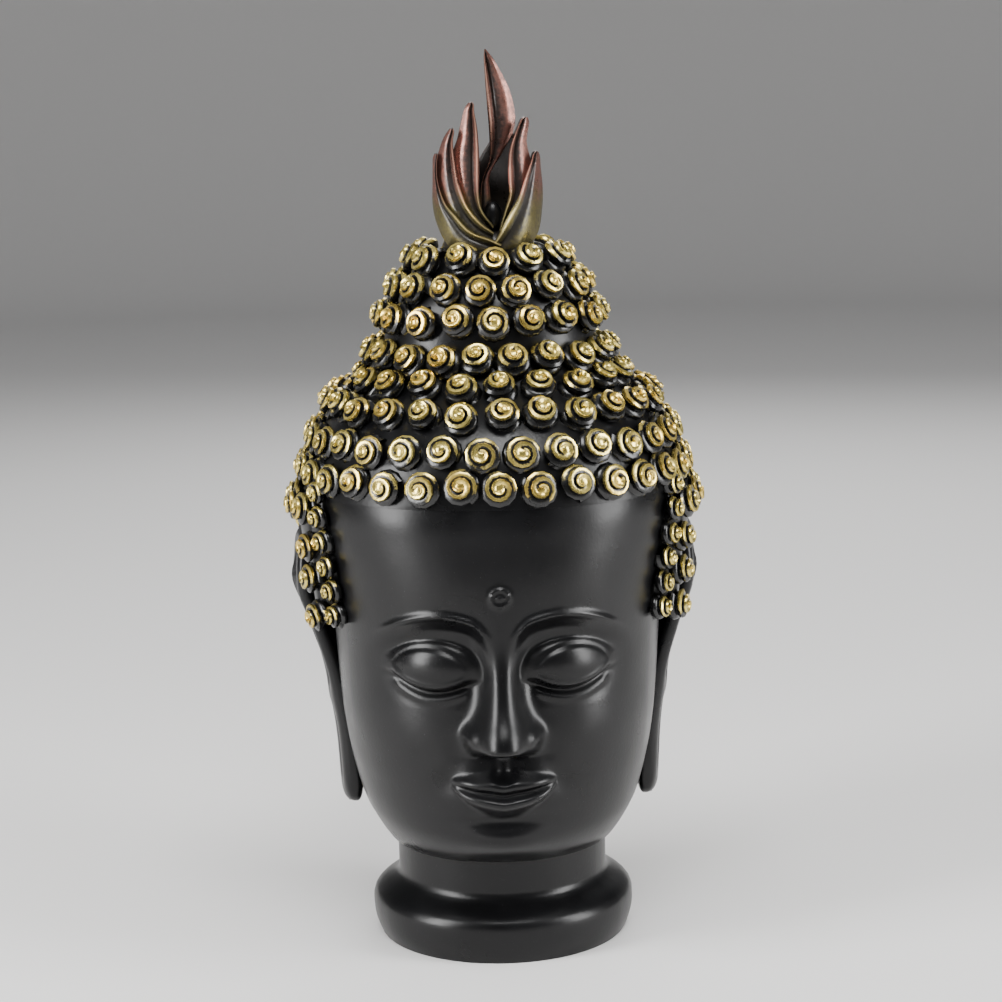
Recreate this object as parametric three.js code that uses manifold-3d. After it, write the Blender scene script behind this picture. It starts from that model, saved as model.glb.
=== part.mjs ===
// Buddha head in cast resin: one casting from the round stand under its neck to the tip of the flame.
// Millimetres, +Z up, the face looks toward -Y. The origin is the centre of the underside.
import * as THREE from 'three';
import { mergeVertices } from 'three/addons/utils/BufferGeometryUtils.js';
import Module from 'manifold-3d';

const wasm = await Module();
wasm.setup();

// Driving dimensions of the stand and the neck.
const CONTACT_RADIUS = 40.5;
const RIM_RADIUS = 44.6;
const RIM_HEIGHT = 21.5;
const NECK_RADIUS = 35.6;
const NECK_LENGTH = 11.5;

// Driving dimensions of the head. The face is three equal thirds: hairline, brow, base of the nose, chin.
const FACE_THIRD = 38.5;
const HEAD_HEIGHT = 206;
const HEAD_HALF_WIDTH = 63.5;
const HEAD_HALF_DEPTH = 66;
const CHIN_RISE = 6.5;
const ROUNDNESS = 2.15;

// Driving dimensions of the hair: snail curls that stand on a raised scalp.
const HAIR_RAISE = 1.5;
const CURL_TOP_RADIUS = 4.7;
const CURL_RISE = 5.2;
const CURL_DOME = 1.1;
const CURL_SIDES = 6;
const CURL_ROW_PITCH = 11.5;
const FURROW_WIDTH = 0.6;

// Driving dimensions of the ears and the flame.
const EAR_TOP_RISE = 106;
const EAR_LENGTH = 96;
const EAR_HALF_THICKNESS = 4.6;
const EAR_LEAN = 1.2;
const FLAME_HEIGHT = 65;
const FLAME_HALF_WIDTH = 18;
const FLAME_HALF_DEPTH = 13;
const FLAME_SINK = 6;
const FLAME_AXIS_Y = 2;
const PETAL_LIP = 1;

// Heights that follow from them.
const NECK_TOP = RIM_HEIGHT + NECK_LENGTH;
const CHIN_Z = NECK_TOP + CHIN_RISE;
const NOSE_BASE_Z = CHIN_Z + FACE_THIRD;
const BROW_Z = NOSE_BASE_Z + FACE_THIRD;
const HAIRLINE_Z = BROW_Z + FACE_THIRD;
const HEAD_TOP = NECK_TOP + HEAD_HEIGHT;
const FLAME_FOOT_Z = HEAD_TOP - FLAME_SINK;

const degrees = Math.PI / 180;

function smoothstep(low, high, value) {
  const t = Math.min(Math.max((value - low) / (high - low), 0), 1);
  return t * t * (3 - 2 * t);
}

function bump(distance) {
  return Math.exp(-distance * distance);
}

function wrap(turn) {
  return ((turn + 540) % 360) - 180;
}

// Skin sections: share of the head's height above the neck, then the front, back and side reach as
// shares of the half depth and the half width.
const SKIN_SECTIONS = [
  [0, 0.56, 0.56, 0.56], [0.012, 0.68, 0.57, 0.6], [0.032, 0.8, 0.58, 0.64], [0.053, 0.87, 0.6, 0.68],
  [0.083, 0.91, 0.64, 0.73], [0.15, 0.92, 0.71, 0.79], [0.215, 0.91, 0.84, 0.825], [0.275, 0.91, 0.94, 0.843],
  [0.34, 0.93, 1.01, 0.858], [0.405, 0.96, 1.06, 0.874], [0.47, 0.97, 1.07, 0.9], [0.533, 0.96, 1.08, 0.945],
  [0.59, 0.94, 1.075, 0.968], [1, 0.3, 0.3, 0.25],
];

// Scalp sections: the same shares for the raised hair, from the nape to the foot of the flame.
const SCALP_SECTIONS = [
  [0.12, 0.92, 0.7, 0.78], [0.215, 0.92, 0.87, 0.86], [0.32, 0.95, 1.01, 0.92], [0.405, 0.97, 1.08, 0.953],
  [0.5, 0.97, 1.1, 0.984], [0.533, 0.965, 1.1, 1], [0.6, 0.935, 1.085, 0.984], [0.645, 0.91, 1.04, 0.945],
  [0.684, 0.85, 0.97, 0.898], [0.727, 0.73, 0.85, 0.795], [0.757, 0.59, 0.7, 0.65], [0.796, 0.49, 0.635, 0.583],
  [0.85, 0.455, 0.585, 0.535], [0.9, 0.4, 0.52, 0.46], [0.94, 0.28, 0.43, 0.37], [0.958, 0.24, 0.37, 0.32],
  [0.975, 0.13, 0.2, 0.17], [1, 0.04, 0.06, 0.05],
];

function sectionAt(sections, share) {
  const last = sections.length - 1;
  let upper = sections.findIndex((section) => section[0] >= share);
  if (upper < 0) upper = last;
  const lower = Math.max(upper - 1, 0);
  const span = sections[upper][0] - sections[lower][0];
  const t = span > 0 ? (share - sections[lower][0]) / span : 0;
  return [1, 2, 3].map((column) => THREE.MathUtils.lerp(sections[lower][column], sections[upper][column], t));
}

// The reach of a rounded section toward an angle: 0 is the face, positive angles turn toward +X.
function reach(sections, angle, z) {
  const [front, back, side] = sectionAt(sections, (z - NECK_TOP) / HEAD_HEIGHT);
  const across = Math.abs(Math.sin(angle)) / (side * HEAD_HALF_WIDTH);
  const along = Math.abs(Math.cos(angle)) / ((Math.cos(angle) > 0 ? front : back) * HEAD_HALF_DEPTH);
  return (across ** ROUNDNESS + along ** ROUNDNESS) ** (-1 / ROUNDNESS);
}

// The lowest height of the hair at an angle: straight over the brow, then sideburn, ear and nape.
function hairEdge(angle) {
  const turn = Math.abs(wrap(angle / degrees));
  if (turn < 61) return HAIRLINE_Z;
  if (turn < 76) return HAIRLINE_Z - 3.5 * CURL_ROW_PITCH;
  if (turn < 100) return HAIRLINE_Z - 1.5 * CURL_ROW_PITCH;
  return HAIRLINE_Z - 7.6 * CURL_ROW_PITCH;
}

// Raised features of the face, all as shares of the face's third, around its middle line.
function faceRelief(x, z) {
  const u = FACE_THIRD;
  const side = Math.abs(x) / u;
  const down = (BROW_Z - z) / u;
  const bridge = 0.45 * smoothstep(-0.12, 0.95, down) * (1 - smoothstep(0.93, 1.03, down));
  const bridgeWidth = 0.11 + 0.1 * smoothstep(0.5, 0.9, down);
  const nose = bridge * bump(side / bridgeWidth) ** 0.8;
  const wings = 0.15 * bump((side - 0.2) / 0.08) * bump((down - 0.89) / 0.09);
  const eyeX = (side - 0.545) / 0.29;
  const socket = -0.13 * bump(Math.hypot(eyeX * 0.8, (down - 0.27) / 0.24));
  const lids = 0.13 * bump(Math.hypot(eyeX, (down - 0.33) / 0.15) ** 1.6);
  const browLine = -0.06 + 0.4 * (side - 0.5) ** 2;
  const brow = 0.05 * bump((down - browLine) / 0.08) * smoothstep(1.0, 0.8, side);
  const lipX = smoothstep(0.45, 0.25, side);
  const mouth = 4 / 3 - 0.12 * side * side;
  const upperLip = 0.1 * bump((down - mouth + 0.08) / 0.07) * lipX;
  const lowerLip = 0.11 * bump((down - mouth - 0.1) / 0.08) * lipX;
  const chin = 0.06 * bump(Math.hypot(side / 0.36, (down - 1.76) / 0.2));
  return u * (nose + wings + socket + lids + brow + upperLip + lowerLip + chin);
}

// The stand's outline: flat contact, round rim, hollow crease and upright neck.
function standRadius(z) {
  const belly = Math.sin(Math.PI * Math.min((z / RIM_HEIGHT) * 0.9 + 0.08, 1));
  const rim = CONTACT_RADIUS + (RIM_RADIUS - CONTACT_RADIUS) * belly ** 0.7;
  const falls = smoothstep(0.55 * RIM_HEIGHT, RIM_HEIGHT, z);
  return THREE.MathUtils.lerp(rim, NECK_RADIUS, falls ** 1.6);
}

function skinRadius(angle, z) {
  if (z <= NECK_TOP) return z === 0 ? CONTACT_RADIUS : standRadius(z);
  const skin = reach(SKIN_SECTIONS, angle, z);
  if (z > hairEdge(angle) + CURL_ROW_PITCH / 2) return skin - 3 * HAIR_RAISE;
  const facing = Math.max(Math.cos(angle), 0);
  return skin + facing * faceRelief(skin * Math.sin(angle), z);
}

function scalpRadius(angle, z) {
  return reach(SCALP_SECTIONS, angle, z) + (z < HAIRLINE_Z ? HAIR_RAISE : 0);
}

// Where there is no hair its surface runs on unseen under the skin.
function sunkRadius(angle, z) {
  return reach(SKIN_SECTIONS, angle, z) - 3 * HAIR_RAISE;
}

function pointOn(radiusAt, angle, z) {
  const radius = radiusAt(angle, z);
  return new THREE.Vector3(radius * Math.sin(angle), -radius * Math.cos(angle), z);
}

// A closed solid from rings of points, lowest ring first, each ring counterclockwise seen from its end.
function ringedGeometry(rings, foot, tip) {
  const size = rings[0].length;
  const positions = [...rings.flat(), foot, tip].flatMap((point) => point.toArray());
  const footIndex = rings.length * size;
  const indices = [];
  for (let i = 0; i < size; i += 1) {
    const next = (i + 1) % size;
    indices.push(footIndex, next, i);
    for (let j = 0; j + 1 < rings.length; j += 1) {
      const low = j * size;
      const high = low + size;
      indices.push(low + i, low + next, high + next, low + i, high + next, high + i);
    }
    const top = (rings.length - 1) * size;
    indices.push(footIndex + 1, top + i, top + next);
  }
  const geometry = new THREE.BufferGeometry();
  geometry.setAttribute('position', new THREE.Float32BufferAttribute(positions, 3));
  geometry.setIndex(indices);
  return geometry;
}

function toSolid(geometry) {
  const bare = geometry.clone();
  bare.deleteAttribute('normal');
  bare.deleteAttribute('uv');
  const merged = mergeVertices(bare);
  const mesh = new wasm.Mesh({
    numProp: 3,
    vertProperties: new Float32Array(merged.attributes.position.array),
    triVerts: new Uint32Array(merged.index.array),
  });
  return new wasm.Manifold(mesh);
}

function toGeometry(solid) {
  const mesh = solid.getMesh();
  const geometry = new THREE.BufferGeometry();
  geometry.setAttribute('position', new THREE.Float32BufferAttribute(mesh.vertProperties, 3));
  geometry.setIndex(new THREE.Uint32BufferAttribute(mesh.triVerts, 1));
  geometry.computeVertexNormals();
  return geometry;
}

function evenSteps(low, high, count) {
  return Array.from({ length: count }, (_, i) => low + ((high - low) * i) / count);
}

// A closed form turned around the vertical axis, whose radius depends on the angle and the height.
function makeTurned(radiusAt, turns, heights, rounding) {
  const rings = heights.map((z) => turns.map((turn) => pointOn(radiusAt, turn * degrees, z)));
  const lowest = heights[0];
  const highest = heights[heights.length - 1];
  return ringedGeometry(rings, new THREE.Vector3(0, 0, lowest), new THREE.Vector3(0, 0, highest + rounding));
}

// Stand, neck and skin, finest over the face.
function makeSkin() {
  const turns = [
    ...evenSteps(-36, 36, 22), ...evenSteps(36, 60, 3), ...evenSteps(60, 300, 10), ...evenSteps(300, 324, 3),
  ];
  const heights = [
    0, ...[0.1, 0.32, 0.58, 0.8, 0.94].map((share) => share * RIM_HEIGHT), RIM_HEIGHT + 1.5, NECK_TOP,
    ...[0.012, 0.032, 0.062].map((share) => NECK_TOP + share * HEAD_HEIGHT),
    ...evenSteps(CHIN_Z + 0.24 * FACE_THIRD, BROW_Z + 0.2 * FACE_THIRD, 21),
    BROW_Z + 0.3 * FACE_THIRD, HAIRLINE_Z - 0.34 * FACE_THIRD, HAIRLINE_Z + 0.03 * FACE_THIRD,
  ];
  return makeTurned(skinRadius, turns, heights, 0);
}

// A ring of points around a centre, in the plane of two directions.
function ringAround(centre, across, along, sides, phase) {
  return Array.from({ length: sides }, (_, i) => {
    const turn = phase + (2 * Math.PI * i) / sides;
    const offset = across.clone().multiplyScalar(Math.cos(turn));
    return centre.clone().add(offset).addScaledVector(along, Math.sin(turn));
  });
}

// Full rings of curls: share of the way from the hairline to the top of the head, how many, and the turn
// of the first.
const CURL_RINGS = [
  { share: 0.083, count: 32, turn: 0.6 },
  { share: 0.206, count: 30, turn: 7.3 },
  { share: 0.324, count: 26, turn: 2.3 },
  { share: 0.408, count: 20, turn: 3 },
  { share: 0.508, count: 19, turn: 10.5 },
  { share: 0.661, count: 17, turn: 1.2 },
  { share: 0.774, count: 15, turn: -6.6 },
  { share: 0.875, count: 11, turn: 4.8 },
];

// Open rows around the sides and the back, downward from the hairline: where they start and how many.
const CURL_ROWS = [
  { start: 69, count: 17 }, { start: 67.5, count: 17 }, { start: 69, count: 17 }, { start: 67.5, count: 17 },
  { start: 108, count: 11 }, { start: 110, count: 11 }, { start: 114, count: 10 },
];

// The stretch beside each ear, centred 89 degrees from the back, that stays free of curls.
const EAR_CLEARANCE = 14;

// Rows of curls from the nape up, each with its height, its curls' turns and the spacing between them.
function curlRows() {
  const ringHeight = (share) => HAIRLINE_Z + share * (HEAD_TOP - HAIRLINE_Z);
  const rings = CURL_RINGS.map(({ share, count, turn }) => {
    const turns = Array.from({ length: count }, (_, i) => turn + (360 * i) / count);
    return { z: ringHeight(share), spacing: 360 / count, turns };
  });
  const rows = CURL_ROWS.map(({ start, count }, row) => {
    const z = ringHeight(CURL_RINGS[0].share) - (row + 1) * CURL_ROW_PITCH;
    const spacing = (360 - 2 * start) / (count - 1);
    const besideEar = (turn) => row > 0 && Math.abs(Math.abs(turn - 180) - 89) < EAR_CLEARANCE;
    const places = Array.from({ length: count }, (_, i) => start + i * spacing);
    const turns = places.filter((turn) => !besideEar(turn));
    return { z, spacing, turns };
  });
  return [...rows.reverse(), ...rings];
}

// Joins two loops of numbered points, both counterclockwise and sorted by angle, with a band of triangles.
function zipLoops(outer, inner, fullTurn) {
  const triangles = [];
  const angleAt = (loop, i) => loop[i % loop.length].angle + (i >= loop.length ? fullTurn : 0);
  const indexAt = (loop, i) => loop[i % loop.length].index;
  let i = 0;
  let j = 0;
  while (i < outer.length || j < inner.length) {
    const outerFirst = j === inner.length || angleAt(outer, i + 1) <= angleAt(inner, j + 1);
    const outerNext = i < outer.length && outerFirst;
    if (outerNext) triangles.push(indexAt(outer, i), indexAt(outer, i + 1), indexAt(inner, j));
    else triangles.push(indexAt(outer, i), indexAt(inner, j + 1), indexAt(inner, j));
    if (outerNext) i += 1;
    else j += 1;
  }
  return triangles;
}

// The borders of a row's cells: a wall down to the sunk surface closes each gap in the row.
function cellBorders({ turns, spacing }) {
  const borders = [];
  turns.forEach((turn, i) => {
    const next = turns[(i + 1) % turns.length] + (i + 1 === turns.length ? 360 : 0);
    borders.push({ turn: turn - spacing / 2, curlTurn: turn });
    if (next - turn < spacing * 1.1) return;
    const gapStart = turn + spacing / 2;
    const gapEnd = next - spacing / 2;
    borders.push({ turn: gapStart }, { turn: gapStart + 1, sunk: true });
    borders.push({ turn: (gapStart + gapEnd) / 2, sunk: true }, { turn: gapEnd - 1, sunk: true });
  });
  return borders;
}

// The hair: a scalp in rows of cells, where each curl is a cell that rises to a round, low-domed top.
function makeHair() {
  const points = [];
  const indices = [];
  const addPoint = (point) => points.push(point) - 1;
  const rows = curlRows();
  const furrows = rows.slice(1).map((row, i) => (row.z + rows[i].z) / 2);
  const edges = [rows[0].z - CURL_ROW_PITCH / 2, ...furrows, HEAD_TOP];
  let below = null;
  rows.forEach((row, level) => {
    const borders = cellBorders(row);
    const [low, high] = [edges[level] + FURROW_WIDTH / 2, edges[level + 1] - FURROW_WIDTH / 2];
    const ringAt = (z) => borders.map(({ turn, sunk }) => {
      const index = addPoint(pointOn(sunk ? sunkRadius : scalpRadius, turn * degrees, z));
      return { angle: wrap(turn), index };
    });
    const [lower, upper] = [ringAt(low), ringAt(high)];
    borders.forEach(({ curlTurn }, i) => {
      const next = (i + 1) % borders.length;
      const corners = [lower[i].index, lower[next].index, upper[next].index, upper[i].index];
      if (curlTurn === undefined) {
        indices.push(corners[0], corners[1], corners[2], corners[0], corners[2], corners[3]);
      } else {
        indices.push(...curlTriangles(curlTurn * degrees, row.z, corners, points, addPoint));
      }
    });
    const sorted = (ring) => [...ring].sort((a, b) => a.angle - b.angle);
    if (below) indices.push(...zipLoops(sorted(below), sorted(lower), 360));
    else closeRing(sorted(lower), low, true);
    below = upper;
    if (level === rows.length - 1) closeRing(sorted(upper), high, false);
  });
  function closeRing(ring, z, fromBelow) {
    const centre = addPoint(new THREE.Vector3(0, 0, z));
    ring.forEach(({ index }, i) => {
      const next = ring[(i + 1) % ring.length].index;
      indices.push(centre, fromBelow ? next : index, fromBelow ? index : next);
    });
  }
  const geometry = new THREE.BufferGeometry();
  geometry.setAttribute('position', new THREE.Float32BufferAttribute(points.flatMap((p) => p.toArray()), 3));
  geometry.setIndex(indices);
  return geometry;
}

// One curl over its cell's four corners: sloping walls up to a round rim, and a low dome.
function curlTriangles(angle, z, corners, points, addPoint) {
  const root = pointOn(scalpRadius, angle, z);
  const around = points[corners[1]].clone().sub(points[corners[0]]).normalize();
  const rising = points[corners[3]].clone().sub(points[corners[0]]);
  const outward = around.clone().cross(rising).normalize();
  const upward = outward.clone().cross(around);
  const top = root.clone().addScaledVector(outward, CURL_RISE);
  const rim = ringAround(
    top,
    around.clone().multiplyScalar(CURL_TOP_RADIUS),
    upward.clone().multiplyScalar(CURL_TOP_RADIUS),
    CURL_SIDES,
    -Math.PI,
  );
  const withAngle = (index) => {
    const offset = points[index].clone().sub(root);
    return { angle: Math.atan2(offset.dot(upward), offset.dot(around)), index };
  };
  const rimAngle = (i) => -Math.PI + (2 * Math.PI * i) / CURL_SIDES;
  const rimLoop = rim.map((point, i) => ({ angle: rimAngle(i), index: addPoint(point) }));
  const cornerLoop = corners.map(withAngle).sort((a, b) => a.angle - b.angle);
  const crown = addPoint(top.clone().addScaledVector(outward, CURL_DOME));
  const dome = rimLoop.flatMap(({ index }, i) => [index, rimLoop[(i + 1) % CURL_SIDES].index, crown]);
  return [...zipLoops(cornerLoop, rimLoop, 2 * Math.PI), ...dome];
}

// The ear's spine from its top down: share of its length, place as shares of the head's half width and
// half depth, and half width as a share of the ear's length.
const EAR_SPINE = [
  [0, 0.99, 0.227, 0.042], [0.06, 1.025, 0.235, 0.115], [0.2, 1.038, 0.242, 0.156], [0.36, 0.96, 0.197, 0.13],
  [0.52, 0.885, 0.136, 0.094], [0.72, 0.825, 0.098, 0.078], [0.92, 0.805, 0.083, 0.073], [1, 0.803, 0.083, 0.036],
];

// A long ear: a broad leaf above and a slender hanging lobe below, leaning in toward the jaw.
function makeEar(side) {
  const top = NECK_TOP + EAR_TOP_RISE;
  const placeAt = ([share, x, y]) => new THREE.Vector3(
    side * x * HEAD_HALF_WIDTH,
    y * HEAD_HALF_DEPTH,
    top - share * EAR_LENGTH,
  );
  const rings = EAR_SPINE.map((station, i) => ringAround(
    placeAt(station),
    new THREE.Vector3(side * EAR_HALF_THICKNESS * (i === 0 ? 0.5 : 1), 0, 0),
    new THREE.Vector3(side * EAR_LEAN, station[3] * EAR_LENGTH, 0),
    8,
    0,
  ));
  const ordered = rings.map((ring) => (side > 0 ? ring : [...ring].reverse())).reverse();
  const [first, last] = [EAR_SPINE[0], EAR_SPINE[EAR_SPINE.length - 1]];
  const endCap = 0.01 * EAR_LENGTH;
  const lowest = placeAt(last).setZ(top - EAR_LENGTH - endCap);
  return ringedGeometry(ordered, lowest, placeAt(first).setZ(top + endCap));
}

// The flame's petals, as pairs of edges: the crest, with its raised lip, and the outer edge. Their points
// are shares of the flame's half width and height, and sink says how far each lies inside the outermost.
const PETALS = [
  {
    crest: [
      [0.24, 0.02], [0.04, 0.05], [-0.32, 0.09], [-0.59, 0.17],
      [-0.77, 0.23], [-0.9, 0.334], [-0.93, 0.42], [-0.9, 0.475],
    ],
    edge: [
      [0, -0.06], [-0.4, -0.05], [-0.75, 0.02], [-0.93, 0.12],
      [-1, 0.22], [-0.99, 0.33], [-0.965, 0.42], [-0.95, 0.463],
    ],
    sink: 0,
    thickness: 3.2,
  },
  {
    crest: [
      [0.1, 0.08], [-0.13, 0.13], [-0.35, 0.206], [-0.5, 0.31],
      [-0.57, 0.43], [-0.62, 0.53], [-0.57, 0.6],
    ],
    edge: [
      [0, 0], [-0.45, 0.05], [-0.78, 0.15], [-0.93, 0.28],
      [-0.86, 0.4], [-0.73, 0.52], [-0.66, 0.588],
    ],
    sink: 1.7,
    thickness: 3,
  },
  {
    crest: [
      [0.1, 0.11], [-0.1, 0.19], [-0.15, 0.28], [-0.13, 0.43],
      [-0.15, 0.58], [-0.22, 0.68], [-0.22, 0.728],
    ],
    edge: [
      [0, 0.03], [-0.35, 0.13], [-0.56, 0.26], [-0.6, 0.4],
      [-0.42, 0.54], [-0.35, 0.66], [-0.31, 0.716],
    ],
    sink: 3.4,
    thickness: 3,
  },
  {
    crest: [
      [0.2, 0.09], [0.32, 0.2], [0.39, 0.27], [0.38, 0.36],
      [0.4, 0.46], [0.49, 0.54], [0.62, 0.61], [0.7, 0.65],
    ],
    edge: [
      [0.3, 0.02], [0.6, 0.1], [0.85, 0.22], [0.9, 0.34],
      [0.8, 0.44], [0.74, 0.52], [0.77, 0.59], [0.78, 0.637],
    ],
    sink: 2.2,
    thickness: 3,
  },
  {
    crest: [
      [0.1, 0.03], [0.2, 0.08], [0.38, 0.17], [0.57, 0.26],
      [0.7, 0.36], [0.82, 0.43], [0.89, 0.478],
    ],
    edge: [
      [0.2, -0.06], [0.6, -0.04], [0.9, 0.06], [1, 0.18],
      [1.02, 0.29], [0.98, 0.4], [0.97, 0.465],
    ],
    sink: 0,
    thickness: 3.2,
  },
];
const TALL_PETAL = {
  crest: [
    [-0.14, 0.06], [-0.14, 0.22], [-0.09, 0.33], [0.05, 0.43],
    [0.065, 0.56], [0.03, 0.74], [0, 0.91], [0, 0.985],
  ],
  edge: [
    [0.1, 0.06], [0.06, 0.24], [0.06, 0.36], [0.28, 0.46],
    [0.54, 0.6], [0.48, 0.76], [0.23, 0.91], [0.05, 0.985],
  ],
  sink: 9,
  thickness: 5,
};

const BACK_PETAL = {
  crest: [[-0.35, 0], [-0.4, 0.15], [-0.32, 0.3], [-0.1, 0.4], [0.06, 0.46]],
  edge: [[0.6, 0], [0.66, 0.15], [0.6, 0.3], [0.38, 0.4], [0.18, 0.46]],
  sink: 2.4,
  thickness: 3,
};

// Shares of a petal's length where it has a section.
const PETAL_STEPS = [0, 0.3, 0.6, 0.88, 1];

// How far the flame swells from its axis at a share of its height, as a share of its half depth.
const FLAME_SWELL = [[-0.1, 0.8], [0, 0.92], [0.2, 1], [0.45, 0.78], [0.7, 0.6], [1, 0.5]];

// How far in front of its axis the flame's outer surface lies.
function flameDepth(x, height) {
  const upper = Math.max(FLAME_SWELL.findIndex(([share]) => share >= height), 1);
  const [[lowShare, low], [highShare, high]] = [FLAME_SWELL[upper - 1], FLAME_SWELL[upper]];
  const swell = THREE.MathUtils.mapLinear(height, lowShare, highShare, low, high);
  return FLAME_HALF_DEPTH * swell * Math.sqrt(Math.max(1 - (0.985 * x) ** 2, 0.03));
}

function centreOf(ring) {
  return ring.reduce((sum, point) => sum.add(point), new THREE.Vector3()).divideScalar(ring.length);
}

// A curved petal between its two edges: a raised lip, a swollen front and a back that follows it.
function makePetal({ crest, edge, sink, thickness }, facing) {
  const curveOf = (points) => {
    const places = points.map(([x, z]) => new THREE.Vector3(x, 0, z));
    return new THREE.CatmullRomCurve3(places, false, 'catmullrom');
  };
  const [crestCurve, edgeCurve] = [curveOf(crest), curveOf(edge)];
  const toPoint = (flat, depth) => new THREE.Vector3(
    flat.x * FLAME_HALF_WIDTH,
    FLAME_AXIS_Y - facing * depth,
    FLAME_FOOT_Z + flat.z * FLAME_HEIGHT,
  );
  const ringAt = (t) => {
    const closing = 0.3 + 0.7 * Math.sqrt(Math.min((1 - t) / 0.08, 1));
    const [from, to] = [crestCurve.getPoint(t), edgeCurve.getPoint(t)];
    const middle = from.clone().lerp(to, 0.5);
    from.lerp(middle, 1 - closing);
    to.lerp(middle, 1 - closing);
    const width = Math.hypot((to.x - from.x) * FLAME_HALF_WIDTH, (to.z - from.z) * FLAME_HEIGHT);
    const back = -thickness * closing;
    const swollen = (0.5 * PETAL_LIP + 0.15 * width) * closing;
    const section = [[0, PETAL_LIP * closing], [0.5, swollen], [1, 0.3 * closing], [0.9, back], [0.1, back]];
    return section.map(([across, raise]) => {
      const flat = from.clone().lerp(to, across);
      return toPoint(flat, flameDepth(flat.x, flat.z) - sink + raise);
    });
  };
  const turnsLeft = edge[3][0] < crest[3][0];
  const reversed = turnsLeft === (facing > 0);
  const rings = PETAL_STEPS.map(ringAt).map((ring) => (reversed ? ring.reverse() : ring));
  const tip = centreOf(rings[rings.length - 1]);
  tip.z += 0.006 * FLAME_HEIGHT;
  return ringedGeometry(rings, centreOf(rings[0]), tip);
}

// The cup that the petals stand on: height as a share of the flame's, and reach as a share of its section.
const CUP_PROFILE = [[-0.12, 0.5], [-0.05, 0.78], [0, 0.84], [0.04, 0.8], [0.08, 0.58]];

function makeFlame() {
  const petals = [1, -1].flatMap((facing) => PETALS.map((petal) => makePetal(petal, facing)));
  const cup = CUP_PROFILE.map(([rise, share]) => ringAround(
    new THREE.Vector3(0, FLAME_AXIS_Y, FLAME_FOOT_Z + rise * FLAME_HEIGHT),
    new THREE.Vector3(share * FLAME_HALF_WIDTH, 0, 0),
    new THREE.Vector3(0, share * FLAME_HALF_DEPTH, 0),
    10,
    0,
  ));
  const centreAt = (rise) => new THREE.Vector3(0, FLAME_AXIS_Y, FLAME_FOOT_Z + rise * FLAME_HEIGHT);
  return [ringedGeometry(cup, centreAt(-0.13), centreAt(0.12)), ...petals, makePetal(BACK_PETAL, -1), makePetal(TALL_PETAL, 1)];
}

let head = toSolid(makeSkin());
for (const piece of [makeHair(), makeEar(-1), makeEar(1), ...makeFlame()]) {
  head = head.add(toSolid(piece));
}

const blackResin = new THREE.MeshStandardMaterial({ color: 0x14151a, roughness: 0.38, metalness: 0 });
const buddhaHead = new THREE.Mesh(toGeometry(head), blackResin);
buddhaHead.name = 'buddha_head';

const model = new THREE.Group();
model.name = 'resin_buddha_head';
model.add(buddhaHead);

export default model;
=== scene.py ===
"""Buddha head in satin black cast resin, with gold-brushed snail curls and an antique copper flame."""
import math

import bpy
import numpy as np
from mathutils import Matrix, kdtree


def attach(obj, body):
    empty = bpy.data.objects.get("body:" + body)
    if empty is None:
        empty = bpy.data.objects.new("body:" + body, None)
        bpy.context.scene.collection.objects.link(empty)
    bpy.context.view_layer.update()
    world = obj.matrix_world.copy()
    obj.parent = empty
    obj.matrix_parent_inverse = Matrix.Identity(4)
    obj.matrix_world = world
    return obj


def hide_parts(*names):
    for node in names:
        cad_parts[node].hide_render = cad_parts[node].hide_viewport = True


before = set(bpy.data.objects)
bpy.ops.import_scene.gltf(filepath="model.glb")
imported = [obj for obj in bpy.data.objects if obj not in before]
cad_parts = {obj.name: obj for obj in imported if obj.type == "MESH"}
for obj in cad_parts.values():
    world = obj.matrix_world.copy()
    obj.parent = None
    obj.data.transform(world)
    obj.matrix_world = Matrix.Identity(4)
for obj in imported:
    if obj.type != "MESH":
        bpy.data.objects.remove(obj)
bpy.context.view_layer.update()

# Lengths are millimetres in the frame of the CAD solid: +Z up, the face toward -Y.
MM = 0.001
HEAD_NODE = "buddha_head"

# The stand and the neck.
CONTACT_RADIUS = 40.5
RIM_RADIUS = 44.6
RIM_HEIGHT = 21.5
NECK_RADIUS = 35.6
NECK_TOP = 33.0

# The head. The face is three equal thirds: hairline, brow, base of the nose, chin.
FACE_THIRD = 38.5
HEAD_HEIGHT = 206.0
HALF_WIDTH = 63.5
HALF_DEPTH = 66.0
ROUNDNESS = 2.15
CHIN_Z = NECK_TOP + 6.5
NOSE_BASE_Z = CHIN_Z + FACE_THIRD
BROW_Z = NOSE_BASE_Z + FACE_THIRD
HAIRLINE_Z = BROW_Z + FACE_THIRD
HEAD_TOP = NECK_TOP + HEAD_HEIGHT

# The hair, and where its edge runs: degrees from the middle of the face, and heights.
HAIR_RAISE = 1.5
ROW_PITCH = 11.5
FACE_EDGE_TURN = 58
TEMPLE_TURN = 68
SIDEBURN_TURN = 72
SIDEBURN_END_TURN = 80
BEHIND_EAR_TURN = 100
TEMPLE_FOOT_Z = HAIRLINE_Z - 1.5 * ROW_PITCH
SIDEBURN_FOOT_Z = HAIRLINE_Z - 3.5 * ROW_PITCH
NAPE_FOOT_Z = HAIRLINE_Z - 7.6 * ROW_PITCH

# The curls. The last four are how much their size, turn, height and tilt vary from one to the next.
CURL_TURNS = 3.0
LAST_TURN = 1.15
CURL_SIDES = 12
CURL_RIDGE = 0.85
GROOVE_DEPTH = 0.8 * CURL_RIDGE
UPPER_CURL_STRETCH = 1.08
LOWER_CURL_STRETCH = 0.84
SIZE_VARIES = 0.03
TURN_VARIES = 0.6
HEIGHT_VARIES = 0.5
TILT_VARIES = 4

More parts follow.
